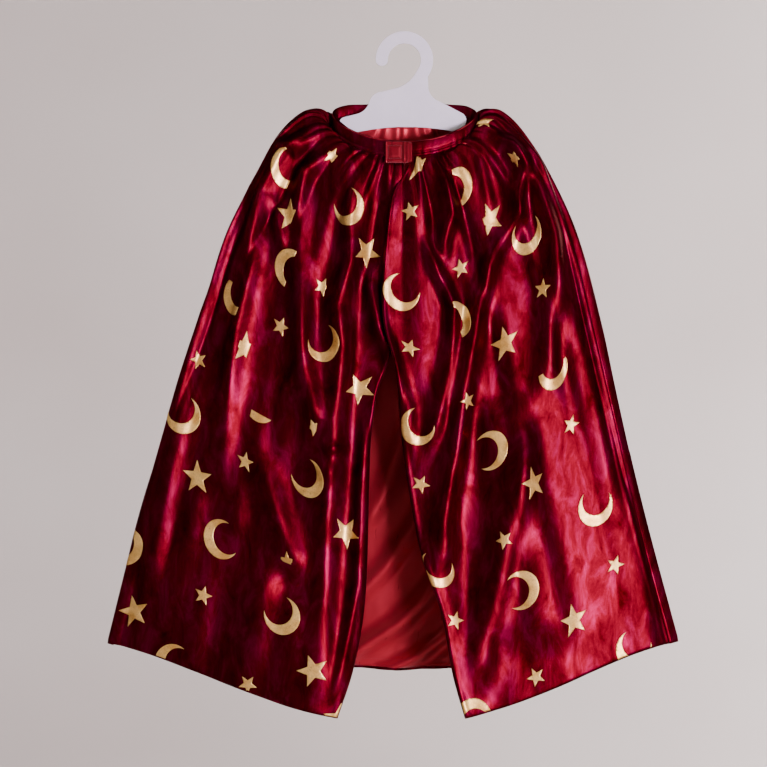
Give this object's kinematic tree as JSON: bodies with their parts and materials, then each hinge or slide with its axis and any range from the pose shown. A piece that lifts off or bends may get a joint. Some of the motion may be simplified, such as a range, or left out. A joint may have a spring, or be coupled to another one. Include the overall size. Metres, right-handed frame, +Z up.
{
  "type": "dress-up cape",
  "caption": "Child's gathered velvet dress-up cape with gold moons and stars, satin lining and a neck tab, hanging on a card hanger.",
  "frame": {"origin": "centre of the inner arc of the hanger's hook, where the rail goes through, in the middle of the card", "axes": "+Z up, the cape opens towards -Y, its back lies towards +Y, +X to the viewer's right when looking at the front"},
  "size_m": [0.6549, 0.0849, 0.7851],
  "materials": {
    "card": "satin",
    "velvet": "matte",
    "lining_satin": "satin",
    "interfacing": "matte",
    "thread": "matte",
    "tab_satin": "satin",
    "hook_tape": "matte",
    "label": "satin"
  },
  "bodies": {
    "hanger": {"card_hanger": "card"},
    "cape_back": {"back_velvet": "velvet", "back_lining": "lining_satin", "back_hem_thread": "thread", "left_side_seam_thread": "thread", "right_side_seam_thread": "thread", "back_neckband": "velvet", "back_neckband_interfacing": "interfacing", "back_gathering_thread": "thread", "care_label": "label"},
    "front_left": {"front_left_velvet": "velvet", "front_left_lining": "lining_satin", "front_left_edge_thread": "thread", "front_left_neckband": "velvet", "front_left_neckband_interfacing": "interfacing", "front_left_gathering_thread": "thread", "loop_tape": "hook_tape", "loop_tape_thread": "thread"},
    "front_right": {"front_right_velvet": "velvet", "front_right_lining": "lining_satin", "front_right_edge_thread": "thread", "front_right_neckband": "velvet", "front_right_neckband_interfacing": "interfacing", "front_right_gathering_thread": "thread"},
    "closure_tab": {"closure_tab": "tab_satin", "hook_tape": "hook_tape", "tab_thread": "thread"}
  },
  "joints": [
    {"name": "cape_lift", "type": "slide", "parent": "hanger", "child": "cape_back", "axis": [0, 0, 1], "range_m": [0, 0.05]},
    {"name": "front_right_swing", "type": "hinge", "parent": "cape_back", "child": "front_right", "pos_m": [0.07, -0.0215, -0.07], "axis": [-0.2817, 0.0084, 0.9595], "range_deg": [0, 120]},
    {"name": "front_left_swing", "type": "hinge", "parent": "cape_back", "child": "front_left", "pos_m": [-0.07, -0.0215, -0.07], "axis": [-0.327, -0.0082, -0.945], "range_deg": [0, 120]},
    {"name": "tab_peel", "type": "hinge", "parent": "front_right", "child": "closure_tab", "pos_m": [0.005, -0.0346, -0.1065], "axis": [0, 0, 1], "range_deg": [0, 150]}
  ],
  "couplings": [
    {"joint": "front_left_swing", "follows": "front_right_swing", "ratio": 1}
  ]
}
